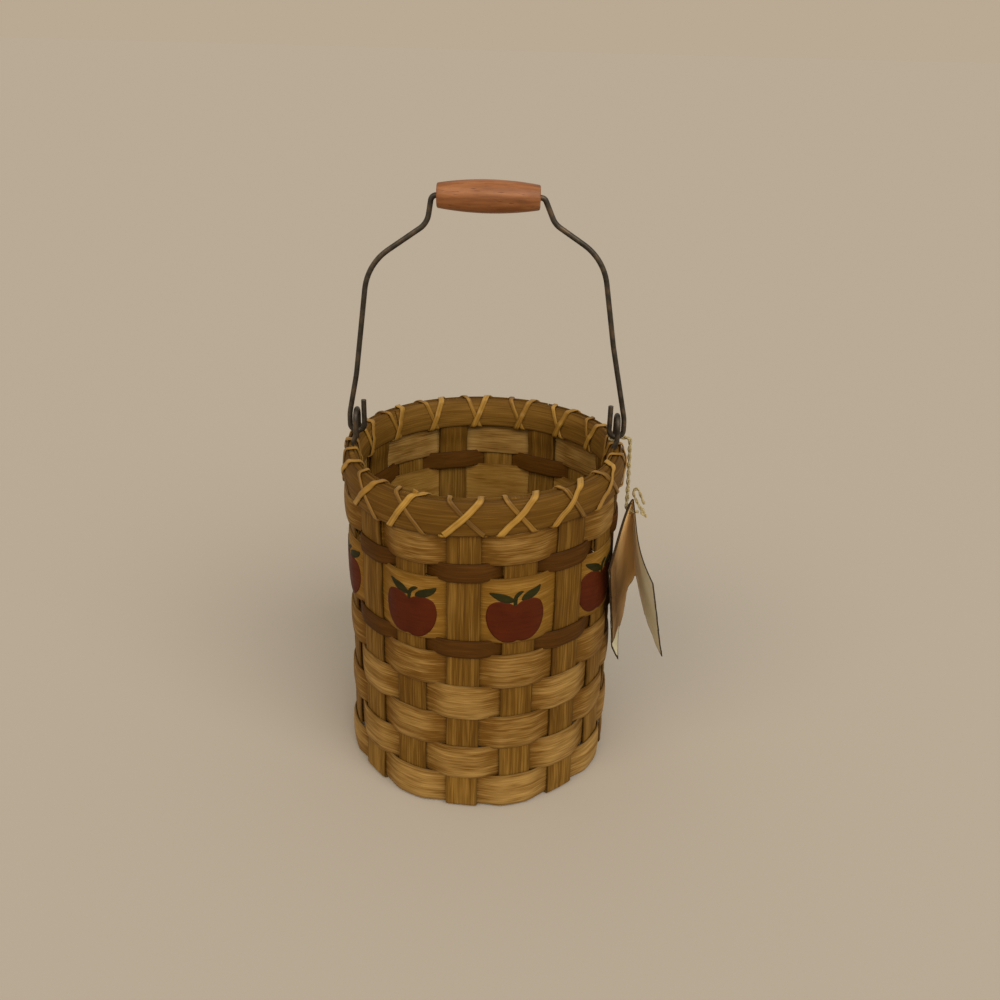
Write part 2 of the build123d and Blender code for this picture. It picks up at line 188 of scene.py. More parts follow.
def srgb(red, green, blue):
    """The shader's linear values of a colour in 0 to 255."""
    shares = np.array([red, green, blue]) / 255
    linear = np.where(shares <= 0.04045, shares / 12.92, ((shares + 0.055) / 1.055) ** 2.4)
    return [*linear.tolist(), 1]


# Node trees
def sum_node(operation):
    """A sum on a flow, which adds the node that works it out."""
    return lambda self, other: self.wiring.math(operation, self, other)


class Flow:
    """A value that runs through a node tree."""
    __add__, __sub__, __mul__ = sum_node("ADD"), sum_node("SUBTRACT"), sum_node("MULTIPLY")
    __truediv__, __pow__ = sum_node("DIVIDE"), sum_node("POWER")

    def __init__(self, wiring, socket):
        self.wiring = wiring
        self.socket = socket


class Wiring:
    """Adds nodes to one tree. A flow is linked, any other value is set."""

    def __init__(self, tree):
        self.tree = tree
        tree.nodes.clear()

    def feed(self, socket, value):
        if isinstance(value, Flow):
            self.tree.links.new(value.socket, socket)
        else:
            socket.default_value = value

    def add(self, kind, settings=None, places=None, **inputs):
        """A new node; inputs go by name, or by place where names repeat."""
        node = self.tree.nodes.new(kind)
        for key, value in (settings or {}).items():
            setattr(node, key, value)
        named = {key.replace("_", " "): value for key, value in inputs.items()}
        for key, value in {**named, **(places or {})}.items():
            self.feed(node.inputs[key], value)
        return node

    def get(self, kind, settings=None, output=0, places=None, **inputs):
        """What a new node gives."""
        return Flow(self, self.add(kind, settings, places, **inputs).outputs[output])

    def math(self, operation, *values):
        return self.get("ShaderNodeMath", {"operation": operation}, 0, dict(enumerate(values)))

    def blended(self, share, first, second):
        return self.get("ShaderNodeMix", {"data_type": "RGBA"}, 2, {0: share, 6: first, 7: second})

    def scaled(self, vector, amount, shift=(0, 0, 0)):
        settings = {"operation": "MULTIPLY_ADD"}
        return self.get("ShaderNodeVectorMath", settings, 0, {0: vector, 1: amount, 2: shift})

    def vector(self, x=0, y=0, z=0):
        return self.get("ShaderNodeCombineXYZ", X=x, Y=y, Z=z)

    def split(self, vector):
        return [Flow(self, part) for part in self.add("ShaderNodeSeparateXYZ", Vector=vector).outputs]

    def place(self):
        return self.get("ShaderNodeTexCoord", output="Object")

    def stretched(self, *scale):
        return self.get("ShaderNodeMapping", Vector=self.place(), Scale=scale)

    def noise(self, vector, detail=2, rough=0.5, scale=1):
        return self.get("ShaderNodeTexNoise", output="Fac", Vector=vector, Scale=scale, Detail=detail,
                        Roughness=rough)

    def ranged(self, value, low, high, new_low=0, new_high=1):
        return self.get("ShaderNodeMapRange", Value=value, From_Min=low, From_Max=high,
                        To_Min=new_low, To_Max=new_high)

    def ramp(self, value, *colours, middle=0.5):
        node = self.add("ShaderNodeValToRGB", Fac=value)
        places = [0, middle, 1] if len(colours) == 3 else [0, 1]
        elements = node.color_ramp.elements
        while len(elements) < len(colours):
            elements.new(0.5)
        for element, place, colour in zip(elements, places, colours):
            element.position = place
            element.color = srgb(*colour)
        return Flow(self, node.outputs["Color"])

    def worn(self, name, data_type="FLOAT"):
        """A piece's attribute, in a geometry tree."""
        return self.get("GeometryNodeInputNamedAttribute", {"data_type": data_type}, "Attribute", Name=name)

    def read(self, name):
        """A piece's attribute, in a material."""
        return self.get("ShaderNodeAttribute", {"attribute_name": name}, "Fac")

    def stored(self, geometry, **values):
        for name, value in values.items():
            geometry = self.get("GeometryNodeStoreNamedAttribute", {"data_type": "FLOAT", "domain": "POINT"},
                                Geometry=geometry, Name=name, Value=value)
        return geometry


reed_sizes = {"Width": 0.0, "Thickness": reed_thickness, "Crown": 0.0, "Edge round": 0.3,
              "Section points": 56, "Fibre depth": 0.05 * mm, "Fibre pitch": 1.3 * mm, "Lean": 0.0,
              "Tone": 0.5}


def reed_tree():
    """A flat reed along a route: an oval section, a crown on its outer face and fibre grooves."""
    tree = bpy.data.node_groups.new("reed_strip", "GeometryNodeTree")
    kinds = {"Route": "Geometry", "Finish": "Material", "Section points": "Int"}
    for name in ("Route", "Finish", *reed_sizes):
        tree.interface.new_socket(name, in_out="INPUT", socket_type="NodeSocket" + kinds.get(name, "Float"))
    tree.interface.new_socket("Reed", in_out="OUTPUT", socket_type="NodeSocketGeometry")
    w = Wiring(tree)
    given = {socket.name: Flow(w, socket) for socket in w.add("NodeGroupInput").outputs}
    half_width = given["Width"] * 0.5
    half_thickness = given["Thickness"] * 0.5

    section = w.get("GeometryNodeMeshCircle", Vertices=given["Section points"], Radius=1)
    x, y, _ = w.split(w.get("GeometryNodeInputPosition"))
    depth = w.math("SIGN", x) * w.math("ABSOLUTE", x) ** given["Edge round"] * half_thickness
    section = w.get("GeometryNodeSetPosition", Geometry=section, Position=w.vector(depth, y * half_width))
    section = w.stored(section, across=y, skin=x / half_thickness)
    section = w.get("GeometryNodeMeshToCurve", Mesh=section)

    out = w.worn("out", "FLOAT_VECTOR")
    route = w.get("GeometryNodeMeshToCurve", Mesh=given["Route"])
    route = w.get("GeometryNodeSetCurveNormal", {"mode": "FREE"}, Curve=route, Normal=out)
    strip = w.get("GeometryNodeCurveToMesh", Curve=route, Profile_Curve=section, Scale=w.worn("wide"),
                  Fill_Caps=True)

    across = w.worn("across")
    edge = w.math("ABSOLUTE", across) / half_width
    dome = w.math("MAXIMUM", edge ** 2 * -1 + 1, 0) * w.math("MAXIMUM", w.worn("skin"), 0)
    upper = w.math("MAXIMUM", across / (half_width * -1), 0)
    rise = dome * w.worn("swell") * given["Crown"] - upper ** lean_power * given["Lean"]
    fibre = w.vector(w.worn("along") * 45, across / given["Fibre pitch"], given["Tone"] * 90)
    groove = (w.noise(fibre, 1) - 0.5) * given["Fibre depth"]
    offset = w.scaled(out, rise, w.scaled(w.get("GeometryNodeInputNormal"), groove))
    strip = w.get("GeometryNodeSetPosition", Geometry=strip, Offset=offset)
    strip = w.stored(strip, edge=edge, tone=given["Tone"])
    strip = w.get("GeometryNodeSetShadeSmooth", Geometry=strip)
    strip = w.get("GeometryNodeRealizeInstances", Geometry=strip)
    strip = w.get("GeometryNodeSetMaterial", Geometry=strip, Material=given["Finish"])
    w.add("NodeGroupOutput", Reed=strip)
    return tree


reed_strip = reed_tree()


# Pieces
def link_piece(name, data):
    piece = bpy.data.objects.new(name, data)
    bpy.context.scene.collection.objects.link(piece)
    return piece


def dress(piece, body, slot, *nodes):
    """Gives a piece its body and hides the nodes it stands in for; the slot is not used."""
    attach(piece, body)
    if nodes:
        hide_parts(*nodes)
    return piece


def store(mesh, **values):
    for name, value in values.items():
        value = np.asarray(value, np.float32)
        kind, key = ("FLOAT_VECTOR", "vector") if value.ndim == 2 else ("FLOAT", "value")
        mesh.attributes.new(name, kind, "POINT").data.foreach_set(key, value.ravel())


def settled(holder):
    """The plain mesh that an object's modifier makes."""
    shown = holder.evaluated_get(bpy.context.evaluated_depsgraph_get())
    mesh = bpy.data.meshes.new_from_object(shown)
    bpy.data.objects.remove(holder)
    return mesh


def reed(name, route, finish, **sizes):
    """Sweeps a reed along a route: points, which way is out, swell and width."""
    points, outs, swell, wide = route
    count = len(points)
    mesh = bpy.data.meshes.new(name + "_route")
    mesh.from_pydata(points.tolist(), [(i, i + 1) for i in range(count - 1)], [])
    store(mesh, out=outs, along=run_length(points), swell=np.broadcast_to(swell, count),
          wide=np.broadcast_to(wide, count))
    holder = link_piece(name + "_route", mesh)
    modifier = holder.modifiers.new("reed", "NODES")
    modifier.node_group = reed_strip
    given = {**reed_sizes, "Finish": finish}
    given.update({key.capitalize().replace("_", " "): value for key, value in sizes.items()})
    for item in reed_strip.interface.items_tree:
        if item.name in given:
            modifier[item.identifier] = given[item.name]
    strip = settled(holder)
    bpy.data.meshes.remove(mesh)
    strip.name = name
    return link_piece(name, strip)


def new_mesh(name, points, faces, finish, smooth=True):
    mesh = bpy.data.meshes.new(name)
    mesh.from_pydata([tuple(point) for point in points], [], faces, shade_flat=not smooth)
    mesh.materials.append(finish)
    mesh.update()
    return mesh


def solid(name, points, faces, finish, smooth=True):
    return link_piece(name, new_mesh(name, points, faces, finish, smooth))


def quads(rows, columns, closed=False):
    """The faces of a grid of points; a closed one joins its ends."""
    faces = []
    for start in range(0, (rows - 1) * columns, columns):
        for i in range(columns if closed else columns - 1):
            here, after = start + i, start + (i + 1) % columns
            faces.append((here, after, after + columns, here + columns))
    return faces


def slab(faces, border, count):
    """The faces of a sheet, its other side, count points later, and its edge."""
    around = zip(border, border[1:] + border[:1])
    return (faces + [tuple(count + i for i in reversed(face)) for face in faces]
            + [(here, here + count, after + count, after) for here, after in around])


def gather(parts):
    points, faces = [], []
    for part_points, part_faces in parts:
        base = len(points)
        points += list(part_points)
        faces += [tuple(base + i for i in face) for face in part_faces]
    return points, faces


# Finishes
class Finish(Wiring):
    """A material's tree, with the shader that it feeds."""

    def __init__(self, name):
        self.material = bpy.data.materials.new(name)
        self.material.use_nodes = True
        super().__init__(self.material.node_tree)
        self.shader = self.add("ShaderNodeBsdfPrincipled")
        self.add("ShaderNodeOutputMaterial", Surface=Flow(self, self.shader.outputs[0]))

    def coat(self, colour, roughness, specular, relief=None, depth=0, strength=0, metallic=0):
        fed = {"Base Color": colour, "Roughness": roughness, "Specular IOR Level": specular,
               "Metallic": metallic}
        if relief:
            fed["Normal"] = self.get("ShaderNodeBump", Height=relief, Distance=depth, Strength=strength)
        for key, value in fed.items():
            self.feed(self.shader.inputs[key], value)
        return self.material


fibre_gap = 0.5 * mm
# Edge darkening: partly soiling, partly painted shade where the strips meet.
edge_dirt_and_shade = 0.45
pale_height = 0.36 * rim_top


def reed_finish(name, dark, middle, light, contrast=0.64, streak=110, painted_float_shading=0):
    """Split reed with dirty edges that also carry painted shade, a painted highlight on a float and painted
    shade where it goes under a stake, painted light on its inner face, and paler near the floor.
    """
    w = Finish(name)
    along, across, tone = map(w.read, ("along", "across", "tone"))

    def fibres(length, gap, shift, detail):
        return w.noise(w.vector(along * length, across / gap, tone * 57 + shift), detail, 0.65)

    fine = fibres(0.6 * streak, fibre_gap, 0, 2)
    broad = fibres(0.5 * streak, 6 * fibre_gap, 3, 2)
    pale_streak = fibres(streak, 0.8 * fibre_gap, 7, 1)
    dark_streak = fibres(0.7 * streak, 0.7 * fibre_gap, 11, 1)
    height = w.split(w.place())[2]
    level = (fine * 0.55 + broad * 0.45 - 0.5) * (1.7 * contrast) + (tone - 0.5) * 0.3
    level += w.ranged(height, 0, pale_height, 0.69, 0.5)
    # Painted light: a reed's inner face is made paler, to brighten the basket's inside.
    level += w.ranged(w.read("skin"), -0.2, -0.7, 0, 0.2)
    # Painted highlight on a float and painted shade where the weaver goes behind a stake.
    level += w.ranged(w.read("swell"), 0.2, 1, -0.6 * painted_float_shading, 0.4 * painted_float_shading)
    colour = w.ramp(level, dark, middle, light)
    colour = w.blended(w.ranged(pale_streak, 0.58, 0.72, 0, 0.45 * contrast), colour, srgb(*light))
    colour = w.blended(w.ranged(dark_streak, 0.6, 0.74, 0, 0.4 * contrast), colour, srgb(*dark))
    # Dirty edges, with painted shade where the strips meet.
    dirt_and_shade = [0.35 * part for part in srgb(*dark)]
    colour = w.blended(w.read("edge") ** 9 * edge_dirt_and_shade, colour, dirt_and_shade)
    return w.coat(colour, w.ranged(fine, 0.3, 0.7, 0.7, 0.54), 0.09, fine, 0.2 * mm, 0.3)


def cane_finish():
    """Glossy cane; a strand's tone makes it brighter or duller."""
    w = Finish("cane_finish")
    along, across, tone = map(w.read, ("along", "across", "tone"))
    fibre = w.noise(w.vector(along * 60, across / fibre_gap, tone * 31), 3)
    patch = w.noise(w.vector(along * 26, 0, tone * 31), 2)
    x, y, _ = w.split(w.place())
    reach = w.math("SQRT", x * x + y * y)
    outside = w.ranged(reach, inner_radius + 1 * mm, outer_radius - 1 * mm)
    level = w.ranged(fibre * 0.45 + patch * 0.55, 0.3, 0.7) + outside * (tone - 0.5)
    colour = w.ramp(level, (90, 61, 16), (146, 106, 40), (182, 140, 62))
    # Painted shade: each strand is darker towards its edges, where it lies against the rim and the other
    # strand.
    colour = w.blended(w.read("edge") ** 5 * 0.5, colour, srgb(84, 52, 16))
    return w.coat(colour, w.ranged(fibre, 0.3, 0.7, 0.5, 0.38), 0.2, fibre, 0.12 * mm, 0.4)


def wire_finish():
    w = Finish("annealed_wire_finish")
    patch = w.noise(w.place(), 4, 0.6, 260)
    speck = w.noise(w.place(), 2, 0.6, 1900)
    colour = w.ramp(w.ranged(patch, 0.32, 0.68), (44, 37, 28), (66, 57, 44), (92, 74, 52), middle=0.55)
    return w.coat(colour, w.ranged(speck, 0.3, 0.7, 0.36, 0.52), 0.5, speck, 0.06 * mm, 0.35, metallic=0.55)


def grip_finish():
    """The grain runs along the grip, which lies along X."""
    w = Finish("turned_grip_finish")
    fine = w.noise(w.stretched(55, 620, 620), 4, 0.6)
    broad = w.noise(w.stretched(16, 210, 210), 2)
    pore = w.noise(w.stretched(230, 1900, 1900), 1)
    level = fine * 0.55 + broad * 0.45
    pit = w.ranged(pore, 0.66, 0.74)
    colour = w.ramp(w.ranged(level, 0.34, 0.66), (106, 62, 29), (137, 84, 44), (161, 106, 62))
    colour = w.blended(pit * 0.7, colour, srgb(86, 46, 24))
    return w.coat(colour, w.ranged(fine, 0.3, 0.7, 0.52, 0.4), 0.3, level - pit, 0.15 * mm, 0.35)


def twine_finish():
    w = Finish("twine_finish")
    fibre = w.noise(w.place(), 4, 0.7, 1500)
    colour = w.ramp(w.ranged(fibre, 0.3, 0.7), (112, 94, 60), (162, 142, 98), (198, 182, 138))
    return w.coat(colour, 0.85, 0.2, fibre, 0.2 * mm, 0.6)


def paper_finish(name, tones, burnt, painted_fold_light, speck_size, contrast):
    """Flecked card, burnt at its torn edges, with painted light growing towards the fold and a painted
    highlight beside it, where the leaves shade each other.
    """
    w = Finish(name)
    fleck = w.noise(w.place(), 4, 0.65, speck_size)
    cloud = w.noise(w.place(), 2, 0.5, 55)
    spread = 0.5 * contrast
    colour = w.ramp(w.ranged(fleck * 0.6 + cloud * 0.4, 0.5 - spread, 0.5 + spread), *tones)
    # Painted light: the card grows paler towards the fold, where the leaves shade each other.
    fold_light_share = w.ranged(w.read("run"), 8 * mm, 30 * mm, 1, 0) + (cloud - 0.5)
    colour = w.blended(fold_light_share, colour, srgb(*painted_fold_light))
    # Painted highlight: a warm, bright strip beside the fold on the inner leaf's front, which lies in shade.
    colour = w.blended(w.read("tanned"), colour, srgb(240, 196, 132))
    toned = w.read("torn") + (fleck - 0.5) * 0.7
    colour = w.blended(w.ranged(toned, 0.42, 0.78), colour, srgb(*burnt))
    return w.coat(colour, 0.8, 0.15, fleck, 0.08 * mm, 0.35)


def paint_finish(name, dark, light):
    """Thin paint; the reed's fibres show in it."""
    w = Finish(name)
    fibre = w.noise(w.stretched(90, 90, 900), 3, 0.6)
    cloud = w.noise(w.place(), 3, 0.5, 160)
    colour = w.ramp(w.ranged(fibre * 0.5 + cloud * 0.5, 0.35, 0.65), dark, light)
    return w.coat(colour, w.ranged(fibre, 0.3, 0.7, 0.62, 0.48), 0.1, fibre, 0.15 * mm, 0.4)


stake_reed = reed_finish("stake_reed", (64, 38, 8), (97, 65, 16), (150, 112, 50), contrast=0.95, streak=60)
# Weavers and the painted row: a painted highlight on each float and painted shade where it goes behind a
# stake.
weaver_reed = reed_finish("weaver_reed", (74, 44, 8), (104, 69, 20), (184, 146, 82), painted_float_shading=0.14)
painted_reed = reed_finish("painted_reed", (86, 53, 11), (119, 82, 24), (180, 138, 70), painted_float_shading=0.1)
dyed_reed = reed_finish("dyed_reed", (50, 28, 3), (71, 41, 5), (98, 62, 18), contrast=0.7)
rim_reed = reed_finish("rim_reed", (70, 43, 9), (94, 63, 16), (144, 104, 44), contrast=0.75, streak=60)
cane = cane_finish()
wire = wire_finish()
grip_wood = grip_finish()
twine = twine_finish()
# Each card's fourth value is the colour of its painted light near the fold.
kraft = paper_finish("kraft_finish", [(92, 66, 36), (118, 86, 48), (146, 108, 64)], (66, 45, 20),
                     (232, 190, 126), 900, 0.4)
white_paper = paper_finish("white_card_finish", [(196, 186, 148), (212, 203, 168), (224, 217, 190)],
                           (52, 40, 24), (248, 242, 222), 700, 0.5)
apple_paint = paint_finish("apple_paint", (68, 23, 3), (80, 30, 6))
leaf_paint = paint_finish("leaf_paint", (30, 28, 6), (46, 42, 12))


# Weavers
soft_hold = 4.8  # degrees from a stake's middle to where a weaver swings
row_tones = [0.5, 0.52, 0.5, 0.78, 0.54, 0.49, 0.51, 0.53, 0.56, 0.47]
row_cover = 1.5 * mm  # a float covers its neighbours' edges
turn_cover = 1.1 * mm  # less between the stakes
last_cover = 0.4 * mm  # least under the rim
last_row_drop = 0.7 * mm
last_row_gap = 0.5 * mm  # below the rim
rim_row_rise = 0.2 * mm
shared_wave = 0.2 * mm  # the upper rows wave most
own_wave = 0.06 * mm
width_wave = 0.008
crown_share = 0.016  # of a weaver's width
least_crown = 0.1 * mm
narrow_row = 8 * mm
bow_reach = 0.55  # of the way to the next stake


def row_edges(row, angles):
    """A row's lower and upper edge; the last two follow the rim."""
    low, high = (laid(angles, level) for level in row_spans[row])
    rim_bottom, rim_upper = rim_edges(angles)
    if row == rim_row:
        return rim_bottom + rim_row_rise, rim_upper - rim_row_depth
    if row == rim_row - 1:
        return low - last_row_drop, rim_bottom - last_row_gap
    return low, high


def weaver_route(row):
    """One row's strip, in front of every second stake, its end lapped over its start."""
    rng = seeded(100 + row)
    butted = row == rim_row
    lanes = stake_count + 2 - butted
    start = first_lap + row + butted
    index = start + np.arange(lanes)
    outside = (index + row) % 2
    radii = wall_radius + (rim_lane if butted else drawn_lane) * (2 * outside - 1)
    if row == dyed_rows[-1]:
        radii -= lane * (1 - outside) * (index % 2)
    if not butted:
        radii[1] -= drawn_lane
        radii[stake_count] += drawn_lane
    reach = 0 if butted else hold_angle
    angles = np.linspace(stake_angle(start) - reach, stake_angle(start + lanes - 1) + reach,
                         20 * lanes)
    place = (angles - stake_angle(start)) / stake_step
    lower = np.clip(np.floor(place), 0, lanes - 2).astype(int)
    hold = (hold_angle if butted else soft_hold) / stake_step
    share = ease((place - lower - hold) / (1 - 2 * hold))
    radius = mix(radii[lower], radii[lower + 1], share)
    out = mix(outside[lower], outside[lower + 1], share)
    if not butted:
        from_stake = np.abs(place - np.round(place))
        radius = radius + float_bow * out * np.clip(1 - (from_stake / bow_reach) ** 2, 0, 1)
    low, high = row_edges(row, angles)
    height = (low + high) / 2
    wave = waver(angles, seeded(7), shared_wave) * row_spans[row][0] / rim_low
    wave += waver(angles, rng, own_wave)
    cover = mix(turn_cover, row_cover, (2 * out - 1) ** 2) if row < rim_row - 1 else last_cover
    wide = (high - low + cover) / (row_spans[row][1] - row_spans[row][0]) + waver(angles, rng, width_wave)
    return polar(radius + flare(height), angles, height + wave), polar(1, angles), out, wide


def make_weavers():
    made = []
    looks = {row: (dyed_reed, "dyed_reed") for row in dyed_rows}
    looks[apple_row] = painted_reed, "painted_reed"
    for row, name in enumerate(row_names):
        finish, slot = looks.get(row, (weaver_reed, "natural_reed"))
        height = row_spans[row][1] - row_spans[row][0]
        sizes = {"thickness": drawn_thickness, "crown": crown_share * height + least_crown}
        if row == rim_row:
            sizes = {"thickness": rim_thickness}
        piece = reed(f"weaver_{row + 1:02d}", weaver_route(row), finish, width=height, tone=row_tones[row],
                     section_points=40 if height < narrow_row else 64, **sizes)
        made.append(dress(piece, "basket", slot, name))
    return made


# Stakes
fold_room = 0.3 * mm  # between a folded stake and the rim's top


def sway(index, heights):
    """How far a stake leans from the weaver that crosses it, by height."""
    middles = [laid(stake_angle(index), (low + high) / 2) for low, high in row_spans]
    leans = [-stake_sway if (index + row) % 2 == 1 else stake_sway for row in range(len(row_spans))]
    leans[rim_row] = 0
    return np.interp(heights, [0] + middles, [0] + leans)


def upright_route(index):
    """Half a strip, from the floor up; every second one folds over the rim's row."""
    angle, folded = stake_angle(index), index % 2 == 1
    rim_upper = rim_edges(angle)[1]
    fold_level = rim_upper - (tuck_depth + reed_thickness) / 2 - fold_room
    bend = np.linspace(0, pi / 2, 7)
    foot = reed_thickness / 2 + bend_radius
    heights = np.linspace(foot, fold_level if folded else rim_upper - rim_row_depth, 90)[1:]
    radius = [wall_radius + foot_flare - bend_radius * (1 - np.sin(bend)),
              wall_radius + sway(index, heights) + flare(heights)]
    height = [foot - bend_radius * np.cos(bend), heights]
    facing = [bend - pi / 2, 0 * heights]
    if folded:
        over = np.linspace(0, pi, 11)[1:]
        shift_high = laid(angle, row_spans[rim_row - 1][1]) - tuck_start
        tip = laid(angle, row_spans[dyed_rows[-1]][0]) + tuck_end_cover
        down = np.linspace(fold_level, tip, 24)[1:]
        inwards = mix(lane, tuck_depth, ease((down - shift_high) / tuck_run + 1))
        radius += [wall_radius - tuck_depth / 2 * (1 - np.cos(over)), wall_radius - inwards]
        height += [fold_level + tuck_depth / 2 * np.sin(over), down]
        facing += [over, 0 * down + pi]
    radius, height, facing = (np.hstack(part) for part in (radius, height, facing))
    return polar(radius, angle, height), polar(np.cos(facing), angle, np.sin(facing))


mat_count = stake_count // 4
mat_angles = [(place - (mat_count - 1) / 2) * stake_step for place in range(mat_count)]
mat_offsets = [wall_radius * sin(radians(angle)) for angle in mat_angles]
mat_turn = front_stake + stake_step * (mat_count + 0.5)
mat_ramp = 4 * mm
fan_run = 9 * mm  # where the strips turn towards the wall


def mat_level(place, across, distances):
    """A strip's height under the basket, over and under the ones that cross it."""
    reach = stake_width / 2 + hold_extra
    overs = [(place + crossing + across * mat_count) % 2 == 0 for crossing in range(mat_count)]
    runs = [offset + side for offset in mat_offsets for side in (-reach, reach)]
    runs = [runs[0] - mat_ramp, *runs, runs[-1] + mat_ramp]
    return reed_thickness / 2 + np.interp(distances, runs, [0, *np.repeat(overs, 2) * lane, 0])


def splint_route(place, across):
    """A whole strip: down one side of the wall, under the basket and up the other."""
    turn = mat_turn + 90 * across
    ends = turn + 180 - mat_angles[place], turn + mat_angles[place]
    far, near = (upright_route(round((end - front_stake) / stake_step)) for end in ends)
    lean = radians(mat_angles[place])
    way = np.array([cos(lean), sin(lean)])
    last = (wall_radius + foot_flare - bend_radius) * way
    knee = last - fan_run * way
    first = np.array([last[0] - 2 * fan_run, mat_offsets[place]])
    share = np.linspace(0, 1, 14)[:, None]
    fan = (1 - share) ** 2 * first + 2 * share * (1 - share) * knee + share ** 2 * last
    straight = np.linspace(first * [-1, 1], first, 70)[1:-1]
    x, y = np.vstack([fan[::-1] * [-1, 1], straight, fan])[1:-1].T
    cosine, sine = cos(radians(turn)), sin(radians(turn))
    base = np.stack([x * cosine - y * sine, x * sine + y * cosine, mat_level(place, across, x)], axis=1)
    points = np.vstack([far[0][::-1], base, near[0]])
    outs = np.vstack([far[1][::-1], np.tile([0, 0, -1], (len(base), 1)), near[1]])
    rng = seeded(40 + place + mat_count * across)
    wide = 1 + waver(run_length(points) * 800, rng, width_wave)
    return points, outs, np.where(points[:, 2] > 4 * mm, 1, 0), wide


def make_stakes():
    rng = seeded(5)
    for number in range(2 * mat_count):
        route = splint_route(number % mat_count, number // mat_count)
        piece = reed(f"splint_{number + 1}", route, stake_reed, width=stake_width, crown=0.25 * mm,
                     section_points=48, fibre_pitch=1.2 * mm, fibre_depth=0.09 * mm,
                     tone=rng.uniform(0.3, 0.7))
        dress(piece, "basket", "natural_reed", f"stake_strip_{number + 1}")


# Rim bands
band_height = rim_top - rim_low - rim_dip
scarf_gap = 0.3  # degrees at each end of a hoop
filler_width = 3 * mm
filler_drop = 1.3 * mm


def hoop(scarf):
    return np.linspace(scarf + scarf_gap, scarf + 360 - scarf_gap, 260)


def band_route(radius, facing, scarf, rng):
    """A hoop's middle line; the inner one runs backwards, so that its top stays up."""
    angles = hoop(scarf)[::facing]
    low, high = rim_edges(angles)
    points = polar(radius + waver(angles, rng, 0.08 * mm), angles, (low + high) / 2)
    return points, polar(facing, angles), 1, (high - low) / band_height


def make_rim():
    rng = seeded(11)
    angles = hoop(100)
    points = polar((outer_radius + inner_radius) / 2, angles, rim_edges(angles)[1] - filler_drop)
    route = points, np.tile([0, 0, 1], (len(angles), 1)), 1, 1
    filler = reed("rim_filler", route, rim_reed, width=filler_width, thickness=band_thickness,
                  crown=0.3 * mm, edge_round=0.42, section_points=24, tone=0.35)
    dress(filler, "basket", "rim_reed")
    for name, radius, facing, scarf, tone in (
            ("outer", outer_radius - band_thickness / 2, 1, 60, 0.5),
            ("inner", inner_radius + band_thickness / 2, -1, 140, 0.95)):
        piece = reed(f"rim_band_{name}", band_route(radius, facing, scarf, rng), rim_reed, width=band_height,
                     thickness=band_thickness, crown=0.25 * mm, edge_round=0.42, section_points=64,
                     lean=band_lean, tone=tone)
        dress(piece, "basket", "rim_reed", f"rim_{name}_band")


# Lashing
def rim_loop():
    """The strand's way round the rim's section: radius, height, facing and place, one unit a side."""
    rounds = [1.5 * mm, 1.5 * mm, 0.9 * mm, 0.9 * mm]
    out_r, in_r = outer_radius + strand_rise, inner_radius - strand_rise
    top, bottom = rim_top + strand_rise, rim_low - strand_rise
    corners = np.array([(out_r, bottom), (out_r, top), (in_r, top), (in_r, bottom), (out_r, bottom)])
    loop = []
    for side, (start, end) in enumerate(zip(corners, corners[1:])):
        length = np.linalg.norm(end - start)
        way = (end - start) / length
        corner, facing = rounds[side], 90 * side
        runs = np.linspace(rounds[side - 1], length - corner, max(4, round(length / (0.8 * mm))))
        loop += [(*(start + way * run), facing, side + run / length) for run in runs]
        centre = end - way * corner + np.array([-way[1], way[0]]) * corner
        for turn in range(15, 90, 15):
            angle = radians(facing + turn)
            spot = centre + corner * np.array([cos(angle), sin(angle)])
            loop.append((*spot, facing + turn, side + 1 + (turn - 45) / 45 * corner / length))
    radius, height, facing, place = np.array(loop).T
    outwards = (radius - (out_r + in_r) / 2) / ((out_r - in_r) / 2)
    upper = np.clip((height - (top + bottom) / 2) / ((top - bottom) / 2), 0, 1)
    turn = np.radians(facing)
    over_edge = edge_lift * np.abs(np.sin(2 * turn)) * upper
    radius = radius - outwards * band_lean * upper ** lean_power + over_edge * np.cos(turn)
    height = height + over_edge * np.sin(turn)
    soft = np.array([1, 2, 3, 4, 5, 4, 3, 2, 1]) / 25
    radius, height = (np.convolve(np.pad(line, 4, mode="wrap"), soft, mode="valid")
                      for line in (radius, height))
    return np.stack([radius, height, facing, place], axis=1)


def lift_share(place):
    """Where the upper strand stands clear of the lower one."""
    outside = ease((0.28 - np.abs(place - cross_bottom / (cross_bottom + cross_top))) / 0.2)
    middle = 2 + (stake_step / 2 - inside_top) / (inside_bottom - inside_top)
    inside = ease((0.36 - np.abs(place - middle)) / 0.16)
    return np.maximum(outside, inside)


